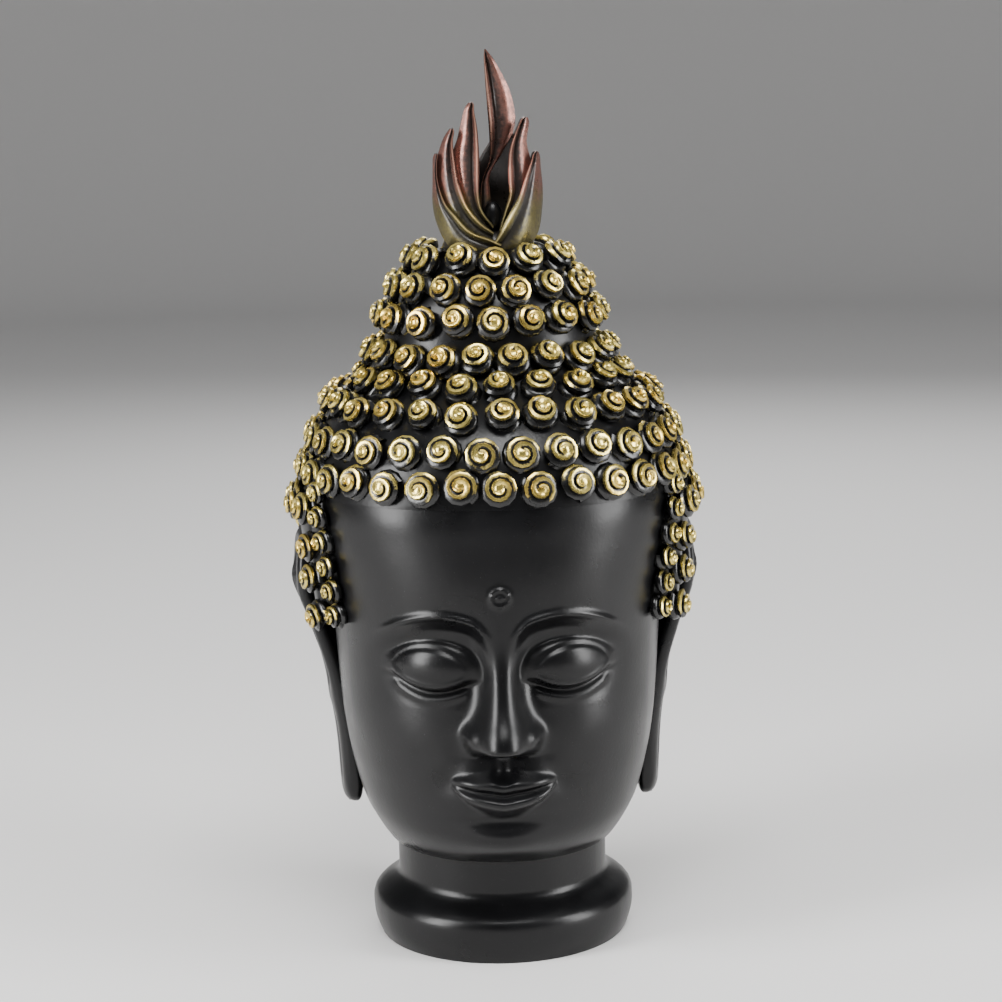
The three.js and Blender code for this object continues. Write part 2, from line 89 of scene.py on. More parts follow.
# The sideburns' curls, and the small ones between them and the face. Pitch and start are in row pitches.
SIDEBURN_CURL_SIZE = 0.88
SMALL_CURL_SIZE = 0.7
SMALL_CURL_TURN = 61.8
SMALL_CURL_PITCH = 0.72
SMALL_CURL_START = 0.4
SMALL_CURL_COUNT = 6

# The ears, and the stretch beside each that stays free of curls, in degrees from the back.
EAR_TOP_Z = NECK_TOP + 106
EAR_LENGTH = 96.0
EAR_THICKNESS = 3.9
EAR_LEAN = 1.2
EAR_HOLLOW = 3.2
EAR_FOLD = 1.9
LOBE_SLOT = 1.4
EAR_TURN = 89
EAR_CLEARANCE = 14.0

# The flame.
FLAME_FOOT_Z = HEAD_TOP - 6
FLAME_HEIGHT = 65.0
FLAME_HALF_WIDTH = 18.0
FLAME_HALF_DEPTH = 13.0
FLAME_AXIS_Y = 2.0
LIP_HEIGHT = 1.6
RIB_HEIGHT = 0.2
HOLLOW_DEPTH = 0.8

# The camera: lengths in millimetres, turns in degrees.
CAMERA_DISTANCE = 800.0
CAMERA_HEIGHT = 290.0
CAMERA_YAW = 1.0
CAMERA_PITCH = 10.1
CAMERA_ROLL = 1.3
CAMERA_AIM_X = 2.3
CAMERA_LENS = 86.84
CAMERA_SENSOR = 36.0

# The floor, in metres.
FLOOR_RADIUS = 2.2
FLOOR_CURVE = 1.2
FLOOR_SIDES = 96

# Edges sharper than this angle stay sharp, in degrees. The relief of the paint is in metres.
SHARP_EDGE = 50
PAINT_RELIEF = 0.0003

# Sections: share of the head's height above the neck, then front and back reach as shares of the half
# depth, and side reach as a share of the half width.
SKIN_SECTIONS = np.array([
    (0, 0.545, 0.545, 0.56), (0.012, 0.66, 0.565, 0.6), (0.032, 0.8, 0.58, 0.64),
    (0.053, 0.87, 0.6, 0.68), (0.083, 0.91, 0.64, 0.73), (0.15, 0.92, 0.71, 0.79),
    (0.215, 0.91, 0.84, 0.825), (0.275, 0.91, 0.94, 0.843), (0.34, 0.93, 1.01, 0.858),
    (0.405, 0.96, 1.06, 0.874), (0.47, 0.97, 1.07, 0.9), (0.533, 0.96, 1.08, 0.945),
    (0.59, 0.94, 1.075, 0.968), (1, 0.3, 0.3, 0.25),
])
SCALP_SECTIONS = np.array([
    (0.12, 0.92, 0.7, 0.78), (0.215, 0.92, 0.87, 0.86), (0.32, 0.95, 1.01, 0.92),
    (0.405, 0.97, 1.08, 0.953), (0.5, 0.97, 1.1, 0.984), (0.533, 0.965, 1.1, 1),
    (0.6, 0.935, 1.085, 0.984), (0.645, 0.91, 1.04, 0.945), (0.684, 0.85, 0.97, 0.898),
    (0.727, 0.73, 0.85, 0.795), (0.757, 0.59, 0.7, 0.65), (0.796, 0.49, 0.635, 0.583),
    (0.85, 0.455, 0.585, 0.535), (0.9, 0.4, 0.52, 0.46), (0.94, 0.28, 0.43, 0.37),
    (0.958, 0.24, 0.37, 0.32), (0.975, 0.13, 0.2, 0.17), (1, 0.04, 0.06, 0.05),
])


def smoothstep(low, high, value):
    t = np.clip((value - low) / (high - low), 0, 1)
    return t * t * (3 - 2 * t)


def bump(distance):
    return np.exp(-distance * distance)


def smooth_max(a, b, width):
    overlap = np.maximum(width - np.abs(a - b), 0) / width
    return np.maximum(a, b) + overlap * overlap * width / 4


def ease_through(xs, ys, x):
    """A smooth curve through the points that never overshoots them."""
    slopes = np.diff(ys) / np.diff(xs)
    tangents = np.concatenate(([slopes[0]], (slopes[1:] + slopes[:-1]) / 2, [slopes[-1]]))
    turning = slopes[1:] * slopes[:-1] <= 0
    tangents[1:-1][turning] = 0
    limit = 3 * np.minimum(np.abs(np.append(slopes, slopes[-1])), np.abs(np.insert(slopes, 0, slopes[0])))
    tangents = np.clip(tangents, -limit, limit)
    x = np.clip(x, xs[0], xs[-1])
    i = np.clip(np.searchsorted(xs, x, side="right") - 1, 0, len(xs) - 2)
    span = xs[i + 1] - xs[i]
    t = (x - xs[i]) / span
    start = ys[i] * (1 + 2 * t) * (1 - t) ** 2 + tangents[i] * span * t * (1 - t) ** 2
    return start + ys[i + 1] * t * t * (3 - 2 * t) + tangents[i + 1] * span * t * t * (t - 1)


def reach(sections, angle, z):
    """The section's radius toward an angle: 0 is the face, positive angles turn toward +X."""
    share = (z - NECK_TOP) / HEAD_HEIGHT
    front, back, side = (ease_through(sections[:, 0], sections[:, i], share) for i in (1, 2, 3))
    depth = np.where(np.cos(angle) > 0, front, back) * HALF_DEPTH
    across = np.abs(np.sin(angle)) / (side * HALF_WIDTH)
    along = np.abs(np.cos(angle)) / depth
    return (across ** ROUNDNESS + along ** ROUNDNESS) ** (-1 / ROUNDNESS)


def stand_radius(z):
    """Flat contact, round rim, hollow crease and upright neck."""
    belly = np.sin(np.pi * np.minimum(z / RIM_HEIGHT * 0.9 + 0.08, 1))
    rim = CONTACT_RADIUS + (RIM_RADIUS - CONTACT_RADIUS) * np.maximum(belly, 0) ** 0.7
    falls = smoothstep(0.55 * RIM_HEIGHT, RIM_HEIGHT, z) ** 1.6
    return rim + (NECK_RADIUS - rim) * falls


def ellipsoid(x, z, centre, radii):
    """How far forward an ellipsoid's front reaches at x and z, falling off steeply outside it."""
    q = ((x - centre[0]) / radii[0]) ** 2 + ((z - centre[2]) / radii[2]) ** 2
    return centre[1] + radii[1] * np.sqrt(np.maximum(1 - q, 0)) - 1.5 * radii[1] * np.maximum(q - 1, 0)


def eye_relief(side, down, relief):
    """A lowered lid over a round eyeball, the slit under it and the thin lower lid."""
    u = FACE_THIRD
    across = (side / u - 0.25) / 0.66
    arch = np.sin(np.pi * np.clip(across, 0, 1))
    margin = (0.4 + 0.1 * arch - 0.04 * across) * u
    above = margin - down
    inside = smoothstep(0, 0.12, across) * smoothstep(1.02, 0.9, across)
    ball = ellipsoid(side, down, (0.58 * u, -0.15 * u, 0.36 * u), (0.42 * u, 0.22 * u, 0.27 * u))
    ball = ball - 0.1 * u * smoothstep(0.01 * u, -0.07 * u, above)
    lidded = smooth_max(relief, ball, 0.12 * u)
    slit = -0.024 * u * bump((above + 0.045 * u) / (0.03 * u)) * inside
    lower_lid = 0.02 * u * bump((above + 0.105 * u) / (0.04 * u)) * inside
    lash_roll = 0.012 * u * bump((above - 0.03 * u) / (0.024 * u)) * inside
    crease = above - 0.34 * u * arch ** 0.6
    fold = -0.016 * u * bump(crease / (0.018 * u)) * inside
    return lidded + slit + lower_lid + lash_roll + fold


def face_relief(x, z):
    """Raised features of the face, as shares of its third, around its middle line."""
    u = FACE_THIRD
    s, d = np.abs(x) / u, (BROW_Z - z) / u

    # Brow and eye sockets.
    brow_line = -0.12 + 0.7 * (s - 0.5) ** 2 + 1.6 * np.maximum(0.24 - s, 0) ** 1.6
    below_brow = d - brow_line
    depth = 0.1 - 0.04 * smoothstep(0.4, 1.0, s)
    socket = -depth * smoothstep(-0.02, 0.14, below_brow) * smoothstep(1.16, 0.8, s)
    socket = socket * smoothstep(0.68, 0.3, d) * smoothstep(0.02, 0.3, s)
    brow = 0.03 * bump((below_brow + 0.02) / 0.03) * smoothstep(1.08, 0.85, s) * smoothstep(0.06, 0.16, s)

    # Temples, cheeks, and the crease beside the mouth.
    temple = -0.03 * bump(np.hypot((s - 1.25) / 0.3, d / 0.45))
    cheek = 0.05 * bump(np.hypot((s - 0.8) / 0.42, (d - 0.92) / 0.36))
    muzzle = 0.08 * bump(np.hypot(s / 0.5, (d - 1.33) / 0.36) ** 1.2)
    crease = -0.012 * bump((s - 0.3 - 0.32 * (d - 0.85)) / 0.09)
    crease = crease * smoothstep(0.84, 0.98, d) * smoothstep(1.32, 1.15, d)
    relief = eye_relief(s * u, d * u, (socket + brow + temple + cheek + muzzle + crease) * u)

    # The nose: a ridge that widens toward its tip, and the wings beside it.
    ridge = ease_through(
        np.array([-0.4, -0.1, 0.1, 0.3, 0.5, 0.7, 0.84, 0.92, 0.98, 1.05]),
        np.array([0, 0.02, 0.05, 0.11, 0.19, 0.29, 0.37, 0.385, 0.3, 0]), d)
    half = ease_through(
        np.array([-0.4, -0.1, 0.1, 0.3, 0.6, 0.85, 1.06]),
        np.array([0.14, 0.24, 0.17, 0.17, 0.2, 0.27, 0.27]), d)
    bridge = ridge * bump((s / (0.85 * half)) ** 1.15) * u
    wing_place = np.hypot((s - 0.2) / 0.14, (d - 0.88) / 0.15)
    wings = 0.19 * (1 - smoothstep(0.1, 1.25, wing_place)) * smoothstep(1.06, 0.98, d) * u
    relief = relief + smooth_max(bridge, wings, 0.1 * u) - 0.025 * u
    nostril = -0.05 * bump(np.hypot((s - 0.13) / 0.055, (d - 1.01) / 0.03))

    # The dent above the lip and the mark on the forehead.
    philtrum = -0.025 * bump(s / 0.045) * smoothstep(1.02, 1.08, d) * smoothstep(1.24, 1.16, d)
    ring_distance = np.hypot(s, d + 0.3)
    mark = 0.022 * bump((ring_distance - 0.07) / 0.02) + 0.03 * bump(ring_distance / 0.032)
    return relief + (nostril + philtrum + mark + mouth_relief(s, d)) * u


def mouth_relief(s, d):
    """Full closed lips with upturned corners, a dent below them and a round chin."""
    reach_out = np.clip(s / 0.42, 0, 1)
    line = 1.335 + 0.014 * bump(s / 0.07) - 0.055 * reach_out ** 2.2
    upper_height = 0.11 * (1 - reach_out ** 2) ** 0.75 + 0.014 * bump((s - 0.085) / 0.05) + 0.035
    lower_height = 0.14 * (1 - np.clip(s / 0.4, 0, 1) ** 2) ** 0.8 + 0.04
    up = (line - d) / upper_height
    low = (d - line) / lower_height
    within = (1 - reach_out ** 2) ** 0.6
    upper = 0.1 * smoothstep(-0.25, 0.3, up) * smoothstep(1.25, 0.5, up)
    lower = 0.12 * smoothstep(-0.25, 0.35, low) * smoothstep(1.25, 0.4, low)
    rim = 0.01 * bump((up - 1.1) / 0.16)
    parting = -0.04 * bump((d - line) / 0.034) * smoothstep(0.46, 0.26, s)
    corner = -0.022 * bump(np.hypot((s - 0.46) / 0.11, (d - 1.285) / 0.1))
    dent = -0.05 * bump(np.hypot(s / 0.3, (d - 1.6) / 0.07))
    chin = 0.08 * bump(np.hypot(s / 0.33, (d - 1.8) / 0.17))
    return (upper + lower + rim) * within + parting + corner + dent + chin


def skin_radius(angle, z):
    head = reach(SKIN_SECTIONS, angle, z)
    facing = np.maximum(np.cos(angle), 0)
    relief = facing * face_relief(head * np.sin(angle), z) * smoothstep(NECK_TOP, CHIN_Z + 4, z)
    return np.where(z <= NECK_TOP, stand_radius(z), head + relief)


def scalp_radius(angle, z):
    return reach(SCALP_SECTIONS, angle, z) + HAIR_RAISE * smoothstep(HAIRLINE_Z + 1, HAIRLINE_Z - 3, z)


def point_on(radius_at, angle, z):
    angle, z = np.asarray(angle, float), np.asarray(z, float)
    radius = radius_at(angle, z)
    return np.stack(np.broadcast_arrays(radius * np.sin(angle), -radius * np.cos(angle), z), axis=-1)


class Shell:
    """Points with their paint, and faces by point number, gathered for one closed mesh."""

    def __init__(self):
        self.points = []
        self.paint = []
        self.faces = []

    def add(self, points, paint):
        first = sum(len(block) for block in self.points)
        self.points.append(np.asarray(points, float).reshape(-1, 3))
        self.paint.append(np.broadcast_to(np.asarray(paint, float), (len(self.points[-1]),)).copy())
        return first

    def grid(self, rings, paint):
        """Rings of points, closed at both ends, each counterclockwise seen from the last one."""
        rows, size = rings.shape[:2]
        first = self.add(rings, np.broadcast_to(paint, (rows, size)).ravel())
        for j in range(rows - 1):
            low = first + j * size
            for i in range(size):
                k = (i + 1) % size
                self.faces.append((low + i, low + k, low + size + k, low + size + i))
        foot = self.add(rings[0].mean(axis=0), 0)
        tip = self.add(rings[-1].mean(axis=0), np.broadcast_to(paint, (rows, size))[-1].mean())
        top = first + (rows - 1) * size
        for i in range(size):
            k = (i + 1) % size
            self.faces.append((foot, first + k, first + i))
            self.faces.append((tip, top + i, top + k))

    def to_object(self, name, material):
        mesh = bpy.data.meshes.new(name)
        points = np.concatenate(self.points) * MM
        mesh.from_pydata(points.tolist(), [], self.faces)
        mesh.materials.append(material)
        mesh.update()
        made = bpy.data.objects.new(name, mesh)
        bpy.context.scene.collection.objects.link(made)
        return made


def steps(*stretches):
    """Values along stretches of (start, end, size of a step), without the last end."""
    return np.concatenate([
        np.linspace(start, end, max(1, round((end - start) / size)), endpoint=False)
        for start, end, size in stretches
    ])


def turned_rings(radius_at, turns, heights):
    angles = np.radians(turns)[None, :]
    return point_on(radius_at, angles, np.asarray(heights)[:, None])


def make_skin(material):
    """Stand, neck and face as one turned form, finest over the features."""
    features, cheeks = 36, 62
    turns = steps(
        (-features, features, 0.72), (features, cheeks, 1.7), (cheeks, 360 - cheeks, 7),
        (360 - cheeks, 360 - features, 1.7))
    crease, chin, lower_lip = RIM_HEIGHT + 3, CHIN_Z + 4, CHIN_Z + 18.5
    under_mouth, over_mouth = BROW_Z - 56, BROW_Z - 49
    under_lid, over_lid = BROW_Z - 24, BROW_Z - 15
    under_mark, over_mark = BROW_Z + 7, BROW_Z + 16
    top = HAIRLINE_Z + 1.5
    heights = np.concatenate(([0, 0.25, 0.8], steps(
        (1.6, crease, 1.2), (crease, NECK_TOP, 1.6), (NECK_TOP, chin, 0.8), (chin, lower_lip, 1.2),
        (lower_lip, under_mouth, 0.57), (under_mouth, over_mouth, 0.42), (over_mouth, under_lid, 0.57),
        (under_lid, over_lid, 0.34), (over_lid, under_mark, 0.57), (under_mark, over_mark, 0.45),
        (over_mark, top, 2.5),
    ), [top]))
    shell = Shell()
    shell.grid(turned_rings(skin_radius, turns, heights), 0)
    return shell, shell.to_object("skin", material)


def hair_cover(angle, z):
    """1 where hair grows: above the brow, down the sideburns, over and behind the ears."""
    angle, z = np.broadcast_arrays(angle, z)
    turn = np.abs((np.degrees(angle) + 180) % 360 - 180)
    top = smoothstep(-0.6, 0.6, z - HAIRLINE_Z)
    beside_face = smoothstep(FACE_EDGE_TURN, TEMPLE_TURN, turn)
    sideburn = beside_face * smoothstep(SIDEBURN_END_TURN, SIDEBURN_TURN, turn)
    sideburn = sideburn * smoothstep(-10, 2, z - SIDEBURN_FOOT_Z)
    temple = beside_face * smoothstep(-1, 1, z - TEMPLE_FOOT_Z)
    nape = smoothstep(BEHIND_EAR_TURN - 1, BEHIND_EAR_TURN + 1, turn) * smoothstep(-1, 1, z - NAPE_FOOT_Z)
    return np.maximum.reduce([top, sideburn, temple, nape])


def make_scalp(material):
    """The ground that the curls stand on, sunk under the skin where no hair grows."""
    def radius_at(angle, z):
        sunk = reach(SKIN_SECTIONS, angle, z) - 3 * HAIR_RAISE
        return sunk + (scalp_radius(angle, z) - sunk) * hair_cover(angle, z)

    before_ear, behind_ear = BEHIND_EAR_TURN - 2, BEHIND_EAR_TURN + 2
    half = np.concatenate((steps(
        (0, FACE_EDGE_TURN, 4), (FACE_EDGE_TURN, TEMPLE_TURN, 1), (TEMPLE_TURN, SIDEBURN_TURN, 2),
        (SIDEBURN_TURN, SIDEBURN_END_TURN, 1), (SIDEBURN_END_TURN, before_ear, 3.6),
        (before_ear, behind_ear, 0.8), (behind_ear, 180, 4),
    ), [180]))
    turns = np.concatenate((half, -half[1:-1][::-1]))
    nape, over_nape = NAPE_FOOT_Z - 1.6, NAPE_FOOT_Z + 2.4
    sideburn, over_sideburn = SIDEBURN_FOOT_Z - 13.75, SIDEBURN_FOOT_Z + 2.25
    temple, over_temple = TEMPLE_FOOT_Z - 1.75, TEMPLE_FOOT_Z + 2.25
    under_hairline, over_hairline = HAIRLINE_Z - 1.5, HAIRLINE_Z + 2
    heights = np.concatenate((steps(
        (nape, over_nape, 0.8), (over_nape, sideburn, 2.8), (sideburn, over_sideburn, 1),
        (over_sideburn, temple, 2.8), (temple, over_temple, 0.8), (over_temple, under_hairline, 2.5),
        (under_hairline, over_hairline, 0.5), (over_hairline, HEAD_TOP, 2.2),
    ), [HEAD_TOP]))
    shell = Shell()
    shell.grid(turned_rings(radius_at, turns, heights), 0)
    return shell, shell.to_object("scalp", material)


# Full rings of curls: share of the way from the hairline to the top of the head, how many, the turn of
# the first, and how far their axes tilt up.
CURL_RINGS = (
    (0.083, 32, 0.6, 12), (0.206, 30, 7.3, 20), (0.324, 26, 2.3, 36), (0.408, 20, 3, 50),
    (0.508, 19, 10.5, 38), (0.661, 17, 1.2, 18), (0.774, 15, -6.6, 22), (0.875, 11, 4.8, 34),
)

# Open rows around the sides and the back, downward from the hairline: where they start, how many, and
# how far their axes tilt up.
CURL_ROWS = (
    (69, 17, 8), (67.5, 17, 3), (69, 17, 0), (67.5, 17, -4), (112, 11, -9), (114, 10, -16), (117, 10, -22),
)


def curl_places():
    """Each curl's turn, height, tilt, row number, place in its row and size."""
    places = []
    rise = HEAD_TOP - HAIRLINE_Z
    for row, (share, count, turn, tilt) in enumerate(CURL_RINGS):
        for i in range(count):
            places.append((turn + 360 * i / count, HAIRLINE_Z + share * rise, tilt, row, i, 1.0))
    for row, (start, count, tilt) in enumerate(CURL_ROWS):
        z = HAIRLINE_Z + CURL_RINGS[0][0] * rise - (row + 1) * ROW_PITCH
        for i in range(count):
            turn = start + (360 - 2 * start) * i / (count - 1)
            from_back = abs(turn - 180)
            beside_ear = row > 0 and abs(from_back - EAR_TURN) < EAR_CLEARANCE
            size = SIDEBURN_CURL_SIZE if row > 0 and from_back > EAR_TURN else 1.0
            if not beside_ear:
                places.append((turn, z, tilt, len(CURL_RINGS) + row, i, size))
    return places


def sideburn_places():
    """The small curls between the sideburns' main ones and the face, as turn and height."""
    top = HAIRLINE_Z + CURL_RINGS[0][0] * (HEAD_TOP - HAIRLINE_Z)
    drops = [(SMALL_CURL_PITCH * row + SMALL_CURL_START) * ROW_PITCH for row in range(SMALL_CURL_COUNT)]
    return [(side * SMALL_CURL_TURN, top - drop) for side in (-1, 1) for drop in drops]


def temple_radius(angle, z):
    """Where the small curls stand: just proud of the skin beside the face."""
    return reach(SKIN_SECTIONS, angle, z) + HAIR_RAISE


# A curl's outline from its buried root to its tip: share of the way, radius and height.
CURL_OUTLINE = np.array([
    (0, 5.3, -3.4), (0.12, 5.25, -1.3), (0.24, 5.05, 0.9), (0.36, 4.6, 2.6),
    (0.48, 3.85, 3.95), (0.6, 2.9, 4.9), (0.72, 1.9, 5.5), (1, 0.3, 5.95),
])

# The lines along a curl's rope: share of the way across it, lift as a share of the ridge, and gilding.
ROPE_LANES = ((0.26, 0.65, 0.55), (0.53, 1.15, 1.0), (0.8, 0.65, 0.52))


def curl_outline(share, lift):
    """Radius and height of a curl's outline, lifted off it by a distance."""
    def at(t):
        return (ease_through(CURL_OUTLINE[:, 0], CURL_OUTLINE[:, column], t) for column in (1, 2))

    radius, height = at(share)
    ahead_radius, ahead_height = at(np.minimum(share + 0.01, 1))
    back_radius, back_height = at(np.maximum(share - 0.01, 0))
    rise, run = ahead_height - back_height, ahead_radius - back_radius
    length = np.hypot(rise, run)
    return np.maximum(radius + lift * rise / length, 0.1), height - lift * run / length


def add_curl(shell, turn, z, tilt, spin, size, tall=1.0, ground=scalp_radius):
    """One snail curl: a rope that winds up from the scalp to the tip of a round cone."""
    angle = math.radians(turn)
    root = point_on(ground, angle, z)
    around = np.array((math.cos(angle), math.sin(angle), 0))
    level = np.array((math.sin(angle), -math.cos(angle), 0))
    lean = math.radians(tilt)
    outward = math.cos(lean) * level + math.sin(lean) * np.array((0, 0, 1))
    upward = np.cross(outward, around)
    n = CURL_SIDES
    last = round(n * CURL_TURNS)
    one_turn = 1 / (CURL_TURNS + LAST_TURN)

    def place(share, theta, lift):
        radius, height = curl_outline(share, lift)
        offset = np.outer(np.cos(theta), around) + np.outer(np.sin(theta), upward)
        return root + size * (radius[:, None] * offset + tall * height[:, None] * outward)

    def gilding(share, theta, amount):
        # The gilding starts further in on each curl's lower side, so the underside stays darker.
        start = 0.26 - 0.14 * np.sin(theta)
        return amount * smoothstep(start, start + 0.2, share)

    k = np.arange(last + n + 1)
    theta = spin + 2 * np.pi * k / n
    share = np.minimum(one_turn * k / n, 1)
    centre = smoothstep(0.7, 0.78, share)
    depth = -GROOVE_DEPTH * (1 - centre) * smoothstep(0.1, 0.25, share)
    groove_start = shell.add(place(share, theta, depth), 0.75 * centre)
    lanes = []
    lane_theta = theta[: last + 1]
    for across, lift, amount in ROPE_LANES:
        lane_share = np.minimum(share[: last + 1] + across * one_turn, 1)
        gilt = gilding(lane_share, lane_theta, amount)
        lanes.append(shell.add(place(lane_share, lane_theta, lift * CURL_RIDGE), gilt))
    groove = [groove_start + i for i in range(last + n + 1)]
    low, crown, high = lanes
    for i in range(last):
        shell.faces.append((groove[i], groove[i + 1], low + i + 1, low + i))
        shell.faces.append((low + i, low + i + 1, crown + i + 1, crown + i))
        shell.faces.append((crown + i, crown + i + 1, high + i + 1, high + i))
        shell.faces.append((high + i, high + i + 1, groove[i + n + 1], groove[i + n]))
    knob = shell.add(root + size * outward * tall * (CURL_OUTLINE[-1, 2] + 0.25), 1)
    inner_loop = [groove[last + i] for i in range(n + 1)] + [high + last, crown + last, low + last]
    for i, corner in enumerate(inner_loop):
        shell.faces.append((corner, inner_loop[(i + 1) % len(inner_loop)], knob))
    under = shell.add(root + size * outward * (CURL_OUTLINE[0, 2] - 0.5), 0)
    outer_loop = groove[: n + 1] + [high, crown, low]
    for i, corner in enumerate(outer_loop):
        shell.faces.append((under, outer_loop[(i + 1) % len(outer_loop)], corner))


def make_curls(material):
    """Four meshes of curls, shared out so that no two in one mesh touch, and one of small ones."""
    golden_angle = math.pi * (3 - math.sqrt(5))
    shells = [Shell() for _ in range(4)]
    for number, (turn, z, tilt, row, i, scale) in enumerate(curl_places()):
        wobble = math.sin(number * 12.9898)
        nudge = math.sin(number * 4.1)
        shell = shells[2 * (row % 2) + i % 2]
        tall = UPPER_CURL_STRETCH if 1 < row < len(CURL_RINGS) else LOWER_CURL_STRETCH
        add_curl(
            shell, turn + TURN_VARIES * wobble, z + HEIGHT_VARIES * nudge, tilt + TILT_VARIES * nudge,
            number * golden_angle, scale * (1 + SIZE_VARIES * wobble), tall)
    small = Shell()
    for number, (turn, z) in enumerate(sideburn_places()):
        add_curl(small, turn, z, 0, number * golden_angle, SMALL_CURL_SIZE, ground=temple_radius)
    return [(shell, shell.to_object("curls", material)) for shell in [*shells, small]]


# The ear's spine from its top down: share of its length, place as shares of the head's half width and
# half depth, and half width as a share of the ear's length.
EAR_SPINE = np.array([
    (0, 0.99, 0.227, 0.042), (0.06, 1.025, 0.235, 0.115), (0.2, 1.038, 0.242, 0.156),
    (0.36, 0.96, 0.197, 0.13), (0.52, 0.885, 0.136, 0.094), (0.72, 0.825, 0.098, 0.078),
    (0.92, 0.805, 0.083, 0.074), (1, 0.803, 0.083, 0.074),
])


def make_ear(side, material):
    """A broad leaf with a rolled rim and a hollow above, and a slender hanging lobe below."""
    stretches = ((0, 0.1, 0.01), (0.1, 0.9, 0.02), (0.9, 0.97, 0.01), (0.97, 1, 0.003))
    share = np.concatenate((steps(*stretches), [1]))
    phi = np.linspace(0, 2 * np.pi, 34, endpoint=False)
    columns = (ease_through(EAR_SPINE[:, 0], EAR_SPINE[:, column], share) for column in (1, 2, 3))
    x, y, width = (column[:, None] for column in columns)
    ends = np.sqrt(np.clip(1 - (2 * share - 1) ** 14, 0.02, 1))[:, None]
    lobe = np.maximum(share - 0.92, 0) / 0.08
    width = width * np.sqrt(np.clip(1 - lobe ** 2, 0.01, 1))[:, None]
    share = share[:, None]
    across = np.sin(phi)[None, :]
    outer = np.cos(phi)[None, :]
    plump = np.sign(outer) * np.abs(outer) ** 0.6 * EAR_THICKNESS * ends
    upper = smoothstep(0.62, 0.5, share) * smoothstep(0.02, 0.1, share)
    hollow = -EAR_HOLLOW * bump((across + 0.05) / 0.5) * upper
    fold = bump((across - 0.25 + 0.9 * (share - 0.3)) / 0.16) * upper * smoothstep(0.1, 0.2, share)
    slot = bump(across / 0.3) * smoothstep(0.62, 0.7, share) * smoothstep(0.95, 0.88, share)
    relief = np.where(outer > 0, hollow + EAR_FOLD * fold - LOBE_SLOT * slot, 0)
    px = x * HALF_WIDTH + plump + relief + EAR_LEAN * across
    py = y * HALF_DEPTH + width * EAR_LENGTH * across
    pz = np.broadcast_to(EAR_TOP_Z - share * EAR_LENGTH, px.shape)
    rings = np.stack((side * px, py, pz), axis=-1)[::-1]
    if side < 0:
        rings = rings[:, ::-1]
    shell = Shell()
    shell.grid(rings, 0)
    return shell, shell.to_object("ear", material)


def spline(points, t):
    """A Catmull-Rom curve through the points."""
    points = np.asarray(points, float)
    padded = np.vstack((2 * points[0] - points[1], points, 2 * points[-1] - points[-2]))
    u = np.clip(t, 0, 1) * (len(points) - 1)
    i = np.clip(np.floor(u).astype(int), 0, len(points) - 2)
    f = (u - i)[:, None]
    p0, p1, p2, p3 = (padded[i + j] for j in range(4))
    square = 2 * p0 - 5 * p1 + 4 * p2 - p3
    cube = 3 * p1 - p0 - 3 * p2 + p3
    return 0.5 * (2 * p1 + (p2 - p0) * f + square * f ** 2 + cube * f ** 3)


def unit(vectors):
    return vectors / np.linalg.norm(vectors, axis=-1, keepdims=True)


# The flame's petals, as pairs of edges: the crest, with its raised lip, and the outer edge. Their points
# are shares of the flame's half width and height, sink says how far each lies inside the outermost, and
# behind how much copper its back has.
PETALS = (
    {"crest": ((0.24, 0.02), (0.04, 0.05), (-0.32, 0.09), (-0.59, 0.17),
               (-0.77, 0.23), (-0.89, 0.334), (-0.9, 0.42), (-0.86, 0.474)),
     "edge": ((0, -0.06), (-0.4, -0.05), (-0.75, 0.02), (-0.93, 0.12),
              (-1, 0.22), (-0.99, 0.33), (-0.98, 0.42), (-0.97, 0.468)),
     "sink": 0, "thickness": 3.2},
    {"crest": ((0.1, 0.08), (-0.13, 0.13), (-0.35, 0.206), (-0.5, 0.31),
               (-0.57, 0.43), (-0.6, 0.53), (-0.54, 0.598)),
     "edge": ((0, 0), (-0.45, 0.05), (-0.78, 0.15), (-0.93, 0.28),
              (-0.93, 0.4), (-0.84, 0.5), (-0.7, 0.59)),
     "sink": 1.7, "thickness": 3},
    {"crest": ((0.1, 0.11), (-0.1, 0.19), (-0.15, 0.28), (-0.13, 0.43),
               (-0.15, 0.58), (-0.2, 0.68), (-0.19, 0.726)),
     "edge": ((0, 0.03), (-0.35, 0.13), (-0.56, 0.26), (-0.66, 0.42),
              (-0.52, 0.54), (-0.41, 0.66), (-0.34, 0.718)),
     "sink": 3.4, "thickness": 3},
    {"crest": ((0.2, 0.09), (0.32, 0.2), (0.39, 0.27), (0.38, 0.36),
               (0.4, 0.46), (0.49, 0.54), (0.6, 0.61), (0.67, 0.648)),
     "edge": ((0.3, 0.02), (0.6, 0.1), (0.85, 0.22), (0.9, 0.34),
              (0.8, 0.44), (0.74, 0.52), (0.78, 0.59), (0.81, 0.638)),
     "sink": 2.2, "thickness": 3},
    {"crest": ((0.1, 0.03), (0.2, 0.08), (0.38, 0.17), (0.57, 0.26),
               (0.7, 0.36), (0.81, 0.43), (0.86, 0.476)),
     "edge": ((0.2, -0.06), (0.6, -0.04), (0.9, 0.06), (1, 0.18),
              (1.02, 0.29), (0.99, 0.4), (0.985, 0.467)),
     "sink": 0, "thickness": 3.2},
)
TALL_PETAL = {
    "crest": ((-0.14, 0.06), (-0.14, 0.22), (-0.09, 0.33), (0.05, 0.43),
              (0.065, 0.56), (0.03, 0.74), (0, 0.91), (0, 0.985)),
    "edge": ((0.1, 0.06), (0.06, 0.24), (0.06, 0.36), (0.28, 0.46),
             (0.54, 0.6), (0.48, 0.76), (0.23, 0.91), (0.05, 0.985)),
    "sink": 9, "thickness": 5, "behind": 0.35,
}
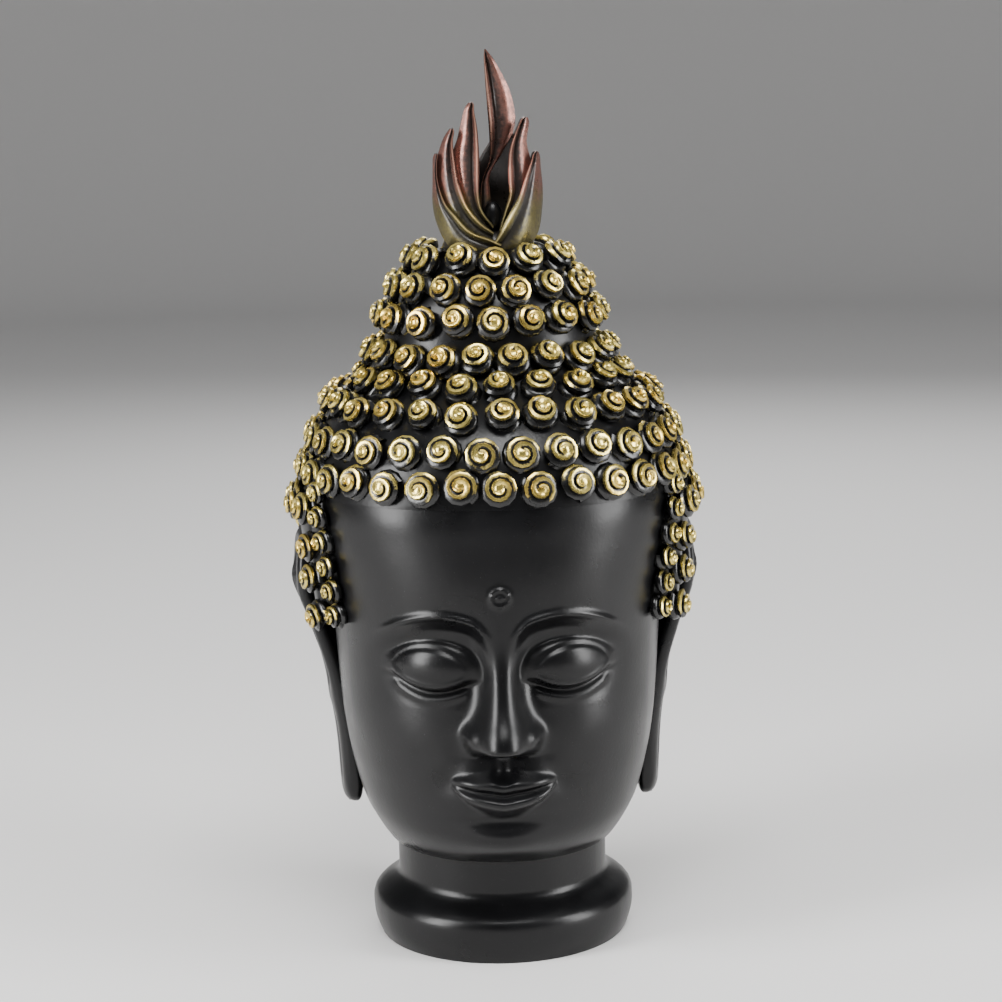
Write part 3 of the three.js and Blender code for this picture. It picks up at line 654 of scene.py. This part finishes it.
BACK_PETAL = {
    "crest": ((-0.35, 0), (-0.4, 0.15), (-0.34, 0.3), (-0.15, 0.42), (0.1, 0.53), (0.34, 0.62)),
    "edge": ((0.6, 0), (0.68, 0.15), (0.68, 0.3), (0.6, 0.43), (0.52, 0.55), (0.46, 0.62)),
    "sink": 2.4, "thickness": 3,
}

# How far the flame swells from its axis at a share of its height, as a share of its half depth.
FLAME_SWELL = np.array([(-0.1, 0.8), (0, 0.92), (0.2, 1), (0.45, 0.78), (0.7, 0.6), (1, 0.5)])


def flame_depth(x, height):
    """How far in front of the flame's axis its outer surface lies."""
    swell = ease_through(FLAME_SWELL[:, 0], FLAME_SWELL[:, 1], height)
    return FLAME_HALF_DEPTH * swell * np.sqrt(np.maximum(1 - (0.985 * x) ** 2, 0.03))


def add_petal(shell, petal, facing, ribs):
    """A curved petal lofted from its crest to its outer edge, with a raised lip and ribs along it."""
    t = np.linspace(0, 1, 27)
    crest = spline(petal["crest"], t)
    edge = spline(petal["edge"], t)
    closing = np.sqrt(np.clip((1 - t) / 0.08, 0.0, 1)) * 0.55 + 0.45
    front = np.linspace(0, 1, 13)
    middle = (crest + edge) / 2
    crest = middle + (crest - middle) * closing[:, None]
    edge = middle + (edge - middle) * closing[:, None]
    flat = crest[:, None, :] + (edge - crest)[:, None, :] * front[None, :, None]
    width = np.linalg.norm((edge - crest) * (FLAME_HALF_WIDTH, FLAME_HEIGHT), axis=1)
    base_depth = flame_depth(flat[..., 0], flat[..., 1]) - petal["sink"]
    lip = bump((front - 0.08) / 0.095)
    rib = 0.5 - 0.5 * np.cos(2 * np.pi * ribs * np.clip((front - 0.1) / 0.9, 0, 1))
    swell = np.sin(np.pi * np.clip(front * 0.9 + 0.1, 0, 1))
    hollow = HOLLOW_DEPTH * bump((front - 0.24) / 0.1)
    raised = LIP_HEIGHT * lip + RIB_HEIGHT * rib + 0.15 * swell * width[:, None] - hollow
    raised = raised * closing[:, None]
    thickness = petal["thickness"] * closing[:, None]

    def to_points(share, depth):
        return np.stack((share[..., 0] * FLAME_HALF_WIDTH, FLAME_AXIS_Y - facing * depth,
                         FLAME_FOOT_Z + share[..., 1] * FLAME_HEIGHT), axis=-1)

    front_points = to_points(flat, base_depth + raised)
    back = np.linspace(0.92, 0.08, 7)
    behind = crest[:, None, :] + (edge - crest)[:, None, :] * back[None, :, None]
    back_points = to_points(behind, flame_depth(behind[..., 0], behind[..., 1]) - petal["sink"] - thickness)
    rings = np.concatenate((front_points, back_points), axis=1)
    turns_left = petal["edge"][3][0] < petal["crest"][3][0]
    reversed_order = turns_left == (facing > 0)
    if reversed_order:
        rings = rings[:, ::-1]
    # The lip gets full paint, which the flame's material turns into its lighter lip tint: worn wax and a
    # painted highlight.
    front_paint = np.clip(lip + smoothstep(0.24, 0.7, front) * (0.38 + 0.08 * rib), 0, 1)
    paint = np.concatenate((front_paint, np.full(len(back), petal.get("behind", 0.05))))
    if reversed_order:
        paint = paint[::-1]
    shell.grid(rings, np.broadcast_to(paint, rings.shape[:2]))


def make_flame(material, dark):
    """The cup, the bead in it, and the petals around it, each a closed mesh of its own."""
    made = []
    for facing in (1, -1):
        for petal in PETALS:
            shell = Shell()
            add_petal(shell, petal, facing, 1)
            made.append((shell, shell.to_object("petal", material)))
    for petal, facing, ribs in ((BACK_PETAL, -1, 2), (TALL_PETAL, 1, 2)):
        shell = Shell()
        add_petal(shell, petal, facing, ribs)
        made.append((shell, shell.to_object("petal", material)))
    phi = np.linspace(0, 2 * np.pi, 48, endpoint=False)

    def bowl(profile, centre, spread, name, finish, paint):
        shares = np.array([[(share * math.cos(a), share * math.sin(a), rise) for a in phi]
                           for rise, share in profile])
        turned = Shell()
        turned.grid(np.array(centre) + shares * np.array(spread), paint)
        made.append((turned, turned.to_object(name, finish)))

    cup_profile = (
        (-0.12, 0.5), (-0.08, 0.68), (-0.05, 0.78), (-0.02, 0.83), (0.01, 0.84), (0.04, 0.8), (0.07, 0.66),
        (0.09, 0.4),
    )
    flame_spread = (FLAME_HALF_WIDTH, FLAME_HALF_DEPTH, FLAME_HEIGHT)
    bowl(cup_profile, (0, FLAME_AXIS_Y, FLAME_FOOT_Z), flame_spread, "cup", material, 0.12)
    bead_profile = [(math.sin(a), math.cos(a)) for a in np.linspace(-1.5, 1.5, 15)]
    bowl(bead_profile, (1.6, FLAME_AXIS_Y - 5.5, FLAME_FOOT_Z + 9.5), (3.2, 3, 5.5), "bead", dark, 0)
    return made


def join_pieces(base, additions):
    """One closed mesh: each addition is united with the base, which keeps every material."""
    for piece in additions:
        union = base.modifiers.new("union", "BOOLEAN")
        union.operation = "UNION"
        union.solver = "MANIFOLD"
        union.material_mode = "TRANSFER"
        union.object = piece
        bpy.context.view_layer.update()
        evaluated = base.evaluated_get(bpy.context.evaluated_depsgraph_get())
        mesh = bpy.data.meshes.new_from_object(evaluated)
        base.modifiers.clear()
        base.data = mesh
        bpy.data.objects.remove(piece)
    return base


def carry_paint(target, shells):
    """The paint of each source point goes to the nearest point of the joined mesh."""
    points = np.concatenate([np.concatenate(shell.points) for shell in shells]) * MM
    paint = np.concatenate([np.concatenate(shell.paint) for shell in shells])
    tree = kdtree.KDTree(len(points))
    for i, point in enumerate(points):
        tree.insert(point, i)
    tree.balance()
    found = [tree.find(vertex.co)[1] for vertex in target.data.vertices]
    values = np.zeros((len(found), 4), np.float32)
    values[:, 0] = paint[found]
    values[:, 3] = 1
    layer = target.data.color_attributes.new("paint", "FLOAT_COLOR", "POINT")
    layer.data.foreach_set("color", values.ravel())


class Nodes:
    """Short calls for building a node material."""

    def __init__(self, name):
        self.material = bpy.data.materials.new(name)
        self.material.use_nodes = True
        self.tree = self.material.node_tree
        self.shader = self.tree.nodes["Principled BSDF"]
        self.place = self.tree.nodes.new("ShaderNodeTexCoord").outputs["Object"]

    def link(self, source, socket):
        self.tree.links.new(source, socket)

    def noise(self, scale, detail=2.0, roughness=0.5):
        node = self.tree.nodes.new("ShaderNodeTexNoise")
        node.inputs["Scale"].default_value = scale
        node.inputs["Detail"].default_value = detail
        node.inputs["Roughness"].default_value = roughness
        self.link(self.place, node.inputs["Vector"])
        return node.outputs["Fac"]

    def math(self, operation, a, b):
        node = self.tree.nodes.new("ShaderNodeMath")
        node.operation = operation
        for socket, value in zip(node.inputs, (a, b)):
            if isinstance(value, (int, float)):
                socket.default_value = value
            else:
                self.link(value, socket)
        return node.outputs[0]

    def ranged(self, value, low, high, out_low, out_high):
        node = self.tree.nodes.new("ShaderNodeMapRange")
        node.interpolation_type = "SMOOTHSTEP"
        self.link(value, node.inputs["Value"])
        limits = {"From Min": low, "From Max": high, "To Min": out_low, "To Max": out_high}
        for name, number in limits.items():
            node.inputs[name].default_value = number
        return node.outputs["Result"]

    def mix(self, factor, first, second):
        node = self.tree.nodes.new("ShaderNodeMix")
        node.data_type = "RGBA"
        self.link(factor, node.inputs["Factor"])
        for socket, value in ((node.inputs[6], first), (node.inputs[7], second)):
            if isinstance(value, tuple):
                socket.default_value = (*value, 1)
            else:
                self.link(value, socket)
        return node.outputs[2]

    def paint(self):
        node = self.tree.nodes.new("ShaderNodeVertexColor")
        node.layer_name = "paint"
        split = self.tree.nodes.new("ShaderNodeSeparateColor")
        self.link(node.outputs["Color"], split.inputs["Color"])
        return split.outputs["Red"]

    def bump(self, height, strength):
        node = self.tree.nodes.new("ShaderNodeBump")
        node.inputs["Strength"].default_value = strength
        node.inputs["Distance"].default_value = PAINT_RELIEF
        self.link(height, node.inputs["Height"])
        self.link(node.outputs["Normal"], self.shader.inputs["Normal"])


# Colours of the paints, as linear red, green and blue.
BLACK = (0.002, 0.002, 0.0023)
CLOUDED_BLACK = (0.0033, 0.0033, 0.0038)
DUST = (0.05, 0.05, 0.055)
GROOVE_BLACK = (0.005, 0.005, 0.005)
GOLD = (0.8, 0.65, 0.19)
WARM_GOLD = (0.8, 0.57, 0.13)
FLAME_BLACK = (0.014, 0.012, 0.011)
OLIVE_GOLD = (0.17, 0.145, 0.06)
COPPER = (0.25, 0.115, 0.09)
# The two lip colours are the wax worn bright on the crests, lightened further by a painted highlight.
OLIVE_LIP_WEAR_AND_HIGHLIGHT = (0.72, 0.6, 0.28)
COPPER_LIP_WEAR_AND_HIGHLIGHT = (0.85, 0.48, 0.36)


def black_resin():
    """Satin black paint over cast resin: faint mottling, an orange-peel skin and fine dust."""
    n = Nodes("satin_black_resin")
    dust = n.ranged(n.noise(2600, 1), 0.74, 0.8, 0, 1)
    cloud = n.ranged(n.noise(28, 3), 0.3, 0.7, 0, 1)
    n.link(n.mix(dust, n.mix(cloud, BLACK, CLOUDED_BLACK), DUST), n.shader.inputs["Base Color"])
    n.link(n.ranged(n.noise(60, 4), 0.3, 0.7, 0.27, 0.34), n.shader.inputs["Roughness"])
    n.shader.inputs["Specular IOR Level"].default_value = 0.3
    n.bump(n.noise(900, 2), 0.1)
    return n.material


def brushed_gold():
    """Gold dry-brushed over the black: thick on the ridges, broken on the walls, none in the grooves."""
    n = Nodes("gold_brushed_curls")
    grain = n.noise(1500, 3, 0.6)
    patch = n.noise(220, 2)
    covered = n.math("ADD", n.paint(), n.math("MULTIPLY", n.math("SUBTRACT", grain, 0.5), 0.45))
    covered = n.math("ADD", covered, n.math("MULTIPLY", n.math("SUBTRACT", patch, 0.5), 0.5))
    gold = n.ranged(covered, 0.38, 0.66, 0, 1)
    warm = n.ranged(n.noise(45, 2), 0.42, 0.68, 0, 1)
    n.link(n.mix(gold, GROOVE_BLACK, n.mix(warm, GOLD, WARM_GOLD)), n.shader.inputs["Base Color"])
    n.link(n.ranged(gold, 0, 1, 0, 0.95), n.shader.inputs["Metallic"])
    n.link(n.ranged(patch, 0.3, 0.7, 0.2, 0.3), n.shader.inputs["Roughness"])
    n.bump(grain, 0.1)
    return n.material


def antique_copper():
    """Copper wax rubbed over the black flame: olive gold low down, pinkish copper on the tongues, and
    lighter lips from worn wax and a painted highlight.
    """
    n = Nodes("antique_copper_flame")
    split = n.tree.nodes.new("ShaderNodeSeparateXYZ")
    n.link(n.place, split.inputs["Vector"])
    low = (FLAME_FOOT_Z + 0.1 * FLAME_HEIGHT) * MM
    high = (FLAME_FOOT_Z + 0.42 * FLAME_HEIGHT) * MM
    height = n.ranged(split.outputs["Z"], low, high, 0, 1)
    blotch = n.noise(160, 3)
    copper = n.ranged(n.math("ADD", height, n.math("SUBTRACT", blotch, 0.5)), 0.2, 0.8, 0, 1)
    # The lips get a lighter tint: worn wax on the crests, and a painted highlight along them.
    lip_wear_and_highlight = n.ranged(n.paint(), 0.62, 0.95, 0, 1)
    tint = n.mix(lip_wear_and_highlight, n.mix(copper, OLIVE_GOLD, COPPER), n.mix(copper, OLIVE_LIP_WEAR_AND_HIGHLIGHT, COPPER_LIP_WEAR_AND_HIGHLIGHT))
    worn = n.math("ADD", n.paint(), n.math("MULTIPLY", n.math("SUBTRACT", n.noise(900, 3), 0.5), 0.6))
    cover = n.ranged(worn, 0.1, 0.62, 0.03, 1)
    n.link(n.mix(cover, FLAME_BLACK, tint), n.shader.inputs["Base Color"])
    n.link(n.ranged(cover, 0, 1, 0.2, 0.85), n.shader.inputs["Metallic"])
    n.link(n.ranged(blotch, 0.3, 0.7, 0.26, 0.38), n.shader.inputs["Roughness"])
    n.bump(n.noise(700, 3), 0.15)
    return n.material


def make_head():
    """The whole casting as one painted mesh."""
    black, gold, copper = black_resin(), brushed_gold(), antique_copper()
    skin = make_skin(black)
    others = [make_scalp(black), make_ear(-1, black), make_ear(1, black)]
    others += [*make_flame(copper, black), *make_curls(gold)]
    head = join_pieces(skin[1], [piece for _, piece in others])
    head.name = "painted_casting"
    head.data.validate()
    head.data.shade_smooth()
    head.data.set_sharp_from_angle(angle=math.radians(SHARP_EDGE))
    carry_paint(head, [shell for shell, _ in [skin, *others]])
    return head


def make_camera():
    """A view from just above the flame's foot, looking a little down."""
    yaw, pitch, roll = (math.radians(value) for value in (CAMERA_YAW, CAMERA_PITCH, CAMERA_ROLL))
    x = -CAMERA_DISTANCE * math.sin(yaw)
    aim = yaw + CAMERA_AIM_X / CAMERA_DISTANCE
    forward = np.array((math.sin(aim) * math.cos(pitch), math.cos(aim) * math.cos(pitch), -math.sin(pitch)))
    level = np.array((math.cos(aim), -math.sin(aim), 0))
    upward = np.cross(level, forward)
    right = math.cos(roll) * level - math.sin(roll) * upward
    top = np.cross(right, forward)
    data = bpy.data.cameras.new("camera")
    data.lens = CAMERA_LENS
    data.sensor_width = CAMERA_SENSOR
    data.clip_start = 0.01
    camera = bpy.data.objects.new("camera", data)
    matrix = np.eye(4)
    matrix[:3, 0], matrix[:3, 1], matrix[:3, 2] = right, top, -forward
    matrix[:3, 3] = np.array((x, -CAMERA_DISTANCE, CAMERA_HEIGHT)) * MM
    camera.matrix_world = Matrix(matrix.tolist())
    bpy.context.scene.collection.objects.link(camera)
    bpy.context.scene.camera = camera


def make_floor():
    """A pale round floor that curves up into a wall all around, so that no horizon shows."""
    count = FLOOR_SIDES
    profile = [(FLOOR_RADIUS + FLOOR_CURVE * math.sin(a), FLOOR_CURVE - FLOOR_CURVE * math.cos(a))
               for a in np.radians(np.arange(0, 91, 5))]
    points = [(radius * math.sin(2 * math.pi * i / count), radius * math.cos(2 * math.pi * i / count), z)
              for radius, z in profile for i in range(count)]
    faces = [tuple(range(count))[::-1]]
    for j in range(len(profile) - 1):
        for i in range(count):
            low, k = j * count, (i + 1) % count
            faces.append((low + i, low + k, low + count + k, low + count + i))
    mesh = bpy.data.meshes.new("floor")
    mesh.from_pydata(points, [], faces)
    mesh.shade_smooth()
    floor = bpy.data.objects.new("floor", mesh)
    bpy.context.scene.collection.objects.link(floor)
    material = bpy.data.materials.new("pale_floor")
    material.use_nodes = True
    shader = material.node_tree.nodes["Principled BSDF"]
    shader.inputs["Base Color"].default_value = (0.8, 0.79, 0.78, 1)
    shader.inputs["Roughness"].default_value = 0.9
    shader.inputs["Specular IOR Level"].default_value = 0.1
    mesh.materials.append(material)


def add_light(name, place, aim, width, height, power):
    data = bpy.data.lights.new(name, "AREA")
    data.shape = "RECTANGLE"
    data.size = width
    data.size_y = height
    data.energy = power
    light = bpy.data.objects.new(name, data)
    forward = unit(np.array(aim, float) - np.array(place, float))
    level = unit(np.cross(forward, (0, 0, 1)))
    top = np.cross(level, forward)
    matrix = np.eye(4)
    matrix[:3, 0], matrix[:3, 1], matrix[:3, 2], matrix[:3, 3] = level, top, -forward, place
    light.matrix_world = Matrix(matrix.tolist())
    bpy.context.scene.collection.objects.link(light)


def make_lights():
    """Soft boxes on both sides and overhead, in metres and watts, and a faint even fill."""
    middle = (0, 0, 0.15)
    add_light("left_softbox", (-0.85, -0.45, 0.45), middle, 0.35, 0.8, 18)
    add_light("right_softbox", (0.9, -0.35, 0.4), middle, 0.35, 0.8, 14)
    add_light("top_softbox", (0.05, -0.5, 1.0), middle, 0.5, 0.35, 8)
    add_light("ceiling", (0, 0.05, 2.6), (0, 0, 0), 3.2, 3.2, 14)
    add_light("back_softbox", (0.2, 1.0, 0.8), middle, 0.8, 0.6, 6)
    world = bpy.data.worlds.new("studio")
    world.use_nodes = True
    background = world.node_tree.nodes["Background"]
    background.inputs["Color"].default_value = (0.8, 0.82, 0.86, 1)
    background.inputs["Strength"].default_value = 0.1
    bpy.context.scene.world = world


make_camera()
make_floor()
make_lights()
head = make_head()
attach(head, "root")
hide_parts(HEAD_NODE)
